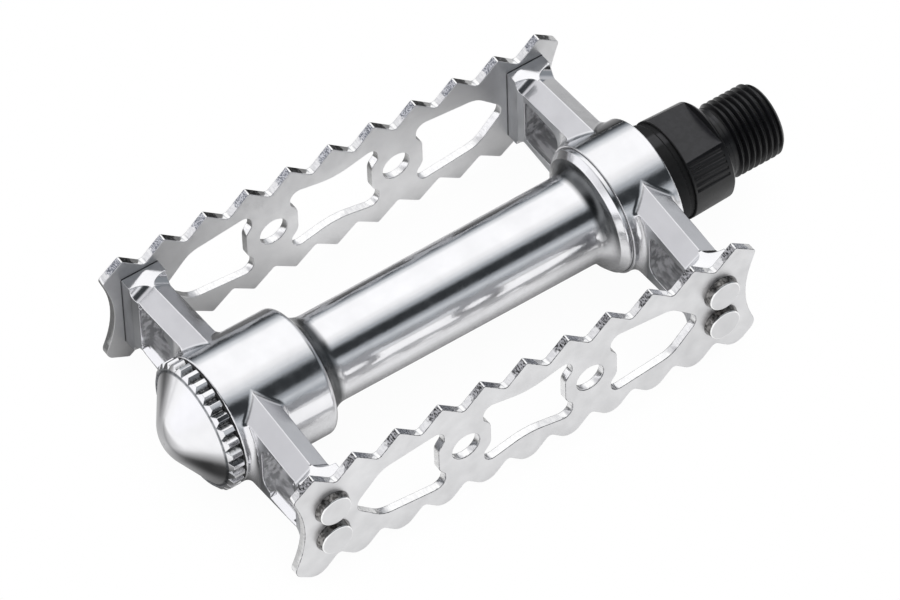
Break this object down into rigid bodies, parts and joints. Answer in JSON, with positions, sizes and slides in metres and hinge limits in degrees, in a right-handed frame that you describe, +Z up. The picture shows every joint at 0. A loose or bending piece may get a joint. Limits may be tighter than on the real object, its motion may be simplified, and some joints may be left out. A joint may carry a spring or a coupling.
{
  "type": "bicycle pedal",
  "caption": "Left-hand rat-trap bicycle pedal: one-piece alloy body on ball bearings, riveted toothed cage plates, conical dust cap and threaded spindle.",
  "frame": {"origin": "on the spindle axis where the full crank thread begins, 3 mm from the shoulder that meets the crank arm", "axes": "+Y along the spindle towards the crank, +Z up, X fore and aft, so the body turns about Y"},
  "size_m": [0.0638, 0.1268, 0.0256],
  "materials": {
    "body_alloy": "polished",
    "cage_steel": "satin",
    "cap_chrome": "polished",
    "rivet_steel": "satin top, dark sides",
    "black_steel": "satin black",
    "bearing_steel": "ground",
    "zinc_steel": "plated",
    "black_rubber": "matt"
  },
  "bodies": {
    "spindle": {"spindle": "black_steel", "cone_outboard": "bearing_steel", "key_washer": "zinc_steel", "lock_nut": "zinc_steel"},
    "pedal": {"body": "body_alloy", "cage_plate_front": "cage_steel", "cage_plate_rear": "cage_steel", "dust_cap": "cap_chrome", "cap_gasket": "black_rubber", "cup_inboard": "bearing_steel", "cup_outboard": "bearing_steel", "dust_seal": "black_rubber", "rivet_front_1": "rivet_steel", "rivet_front_2": "rivet_steel", "rivet_front_3": "rivet_steel", "rivet_front_4": "rivet_steel", "rivet_rear_1": "rivet_steel", "rivet_rear_2": "rivet_steel", "rivet_rear_3": "rivet_steel", "rivet_rear_4": "rivet_steel"},
    "inboard_balls": {"balls_inboard": "bearing_steel"},
    "outboard_balls": {"balls_outboard": "bearing_steel"}
  },
  "joints": [
    {"name": "pedal_spin", "type": "hinge", "parent": "spindle", "child": "pedal", "pos_m": [0, -0.0623, 0], "axis": [0, 1, 0], "continuous": true},
    {"name": "inboard_ball_orbit", "type": "hinge", "parent": "spindle", "child": "inboard_balls", "pos_m": [0, -0.0217, 0], "axis": [0, 1, 0], "continuous": true},
    {"name": "outboard_ball_orbit", "type": "hinge", "parent": "spindle", "child": "outboard_balls", "pos_m": [0, -0.1021, 0], "axis": [0, 1, 0], "continuous": true}
  ],
  "couplings": [
    {"joint": "inboard_ball_orbit", "follows": "pedal_spin", "ratio": 0.5961},
    {"joint": "outboard_ball_orbit", "follows": "pedal_spin", "ratio": 0.6017}
  ]
}
